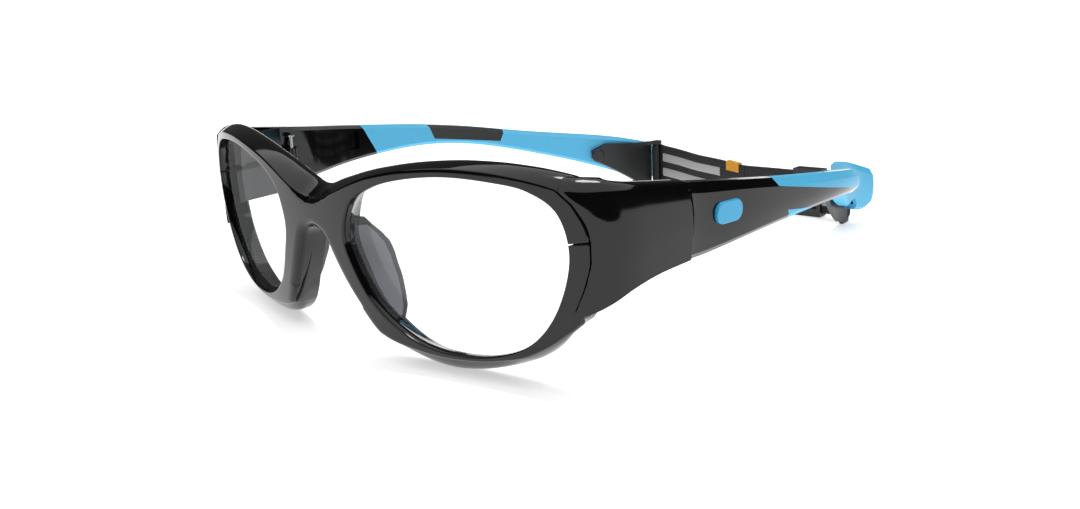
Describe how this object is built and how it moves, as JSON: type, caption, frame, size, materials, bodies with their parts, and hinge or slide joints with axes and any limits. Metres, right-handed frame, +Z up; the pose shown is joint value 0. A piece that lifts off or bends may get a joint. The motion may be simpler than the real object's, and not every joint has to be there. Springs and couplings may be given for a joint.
{
  "type": "sports protective goggles",
  "caption": "Wrap-around sports goggles with two clear lenses, folding temples with soft grips, nose pads and an elastic head strap with a slider.",
  "frame": {"origin": "under the middle of the goggles' length and width, on the surface they rest on", "axes": "+X towards the wearer's left, +Y from the bridge back to the strap, +Z up; the front faces -Y"},
  "size_m": [0.14, 0.1553, 0.0418],
  "materials": {
    "black_nylon": "gloss",
    "clear_lens": "clear gloss",
    "black_rubber": "matt",
    "carrier_plastic": "satin",
    "blue_grip": "satin",
    "blue_trim": "satin",
    "steel": "polished",
    "webbing": "woven",
    "silicone": "matt",
    "orange_tag": "woven",
    "black_plastic": "satin"
  },
  "bodies": {
    "front": {"frame_front": "black_nylon", "lens_left": "clear_lens", "nose_pad_left": "black_rubber", "nose_pad_carrier_left": "carrier_plastic", "side_arm_left": "black_nylon", "ear_screws_left": "steel", "hinge_pin_left": "steel", "lens_right": "clear_lens", "nose_pad_right": "black_rubber", "nose_pad_carrier_right": "carrier_plastic", "side_arm_right": "black_nylon", "ear_screws_right": "steel", "hinge_pin_right": "steel"},
    "temple_left": {"temple_core_left": "black_nylon", "temple_grip_left": "blue_grip", "temple_badge_left": "blue_trim", "temple_inner_bar_left": "blue_trim", "strap_stud_left": "black_plastic", "strap_tab_left": "black_plastic"},
    "temple_right": {"temple_core_right": "black_nylon", "temple_grip_right": "blue_grip", "temple_badge_right": "blue_trim", "temple_inner_bar_right": "blue_trim", "strap_stud_right": "black_plastic", "strap_tab_right": "black_plastic"},
    "strap_half_left": {"strap_left": "webbing", "grip_stripes_left": "silicone"},
    "strap_half_right": {"strap_right": "webbing", "grip_stripes_right": "silicone", "strap_label": "orange_tag"},
    "slider": {"strap_slider": "black_plastic"}
  },
  "joints": [
    {"name": "left_temple_fold", "type": "hinge", "parent": "front", "child": "temple_left", "pos_m": [0.0618, -0.0424, 0.0293], "axis": [0, 0, 1], "range_deg": [0, 80]},
    {"name": "right_temple_fold", "type": "hinge", "parent": "front", "child": "temple_right", "pos_m": [-0.0618, -0.0424, 0.0293], "axis": [0, 0, -1], "range_deg": [0, 68]},
    {"name": "left_strap_turn", "type": "hinge", "parent": "temple_left", "child": "strap_half_left", "pos_m": [0.0334, 0.0747, 0.0074], "axis": [0, 0, 1], "range_deg": [0, 85]},
    {"name": "right_strap_turn", "type": "hinge", "parent": "temple_right", "child": "strap_half_right", "pos_m": [-0.0334, 0.0747, 0.01], "axis": [0, 0, -1], "range_deg": [0, 72]},
    {"name": "slider_travel", "type": "slide", "parent": "strap_half_left", "child": "slider", "axis": [-0.9995, 0, -0.0302], "range_m": [-0.002, 0.006]}
  ],
  "couplings": [
    {"joint": "left_strap_turn", "follows": "left_temple_fold", "ratio": 1.05},
    {"joint": "right_strap_turn", "follows": "right_temple_fold", "ratio": 1.05}
  ]
}
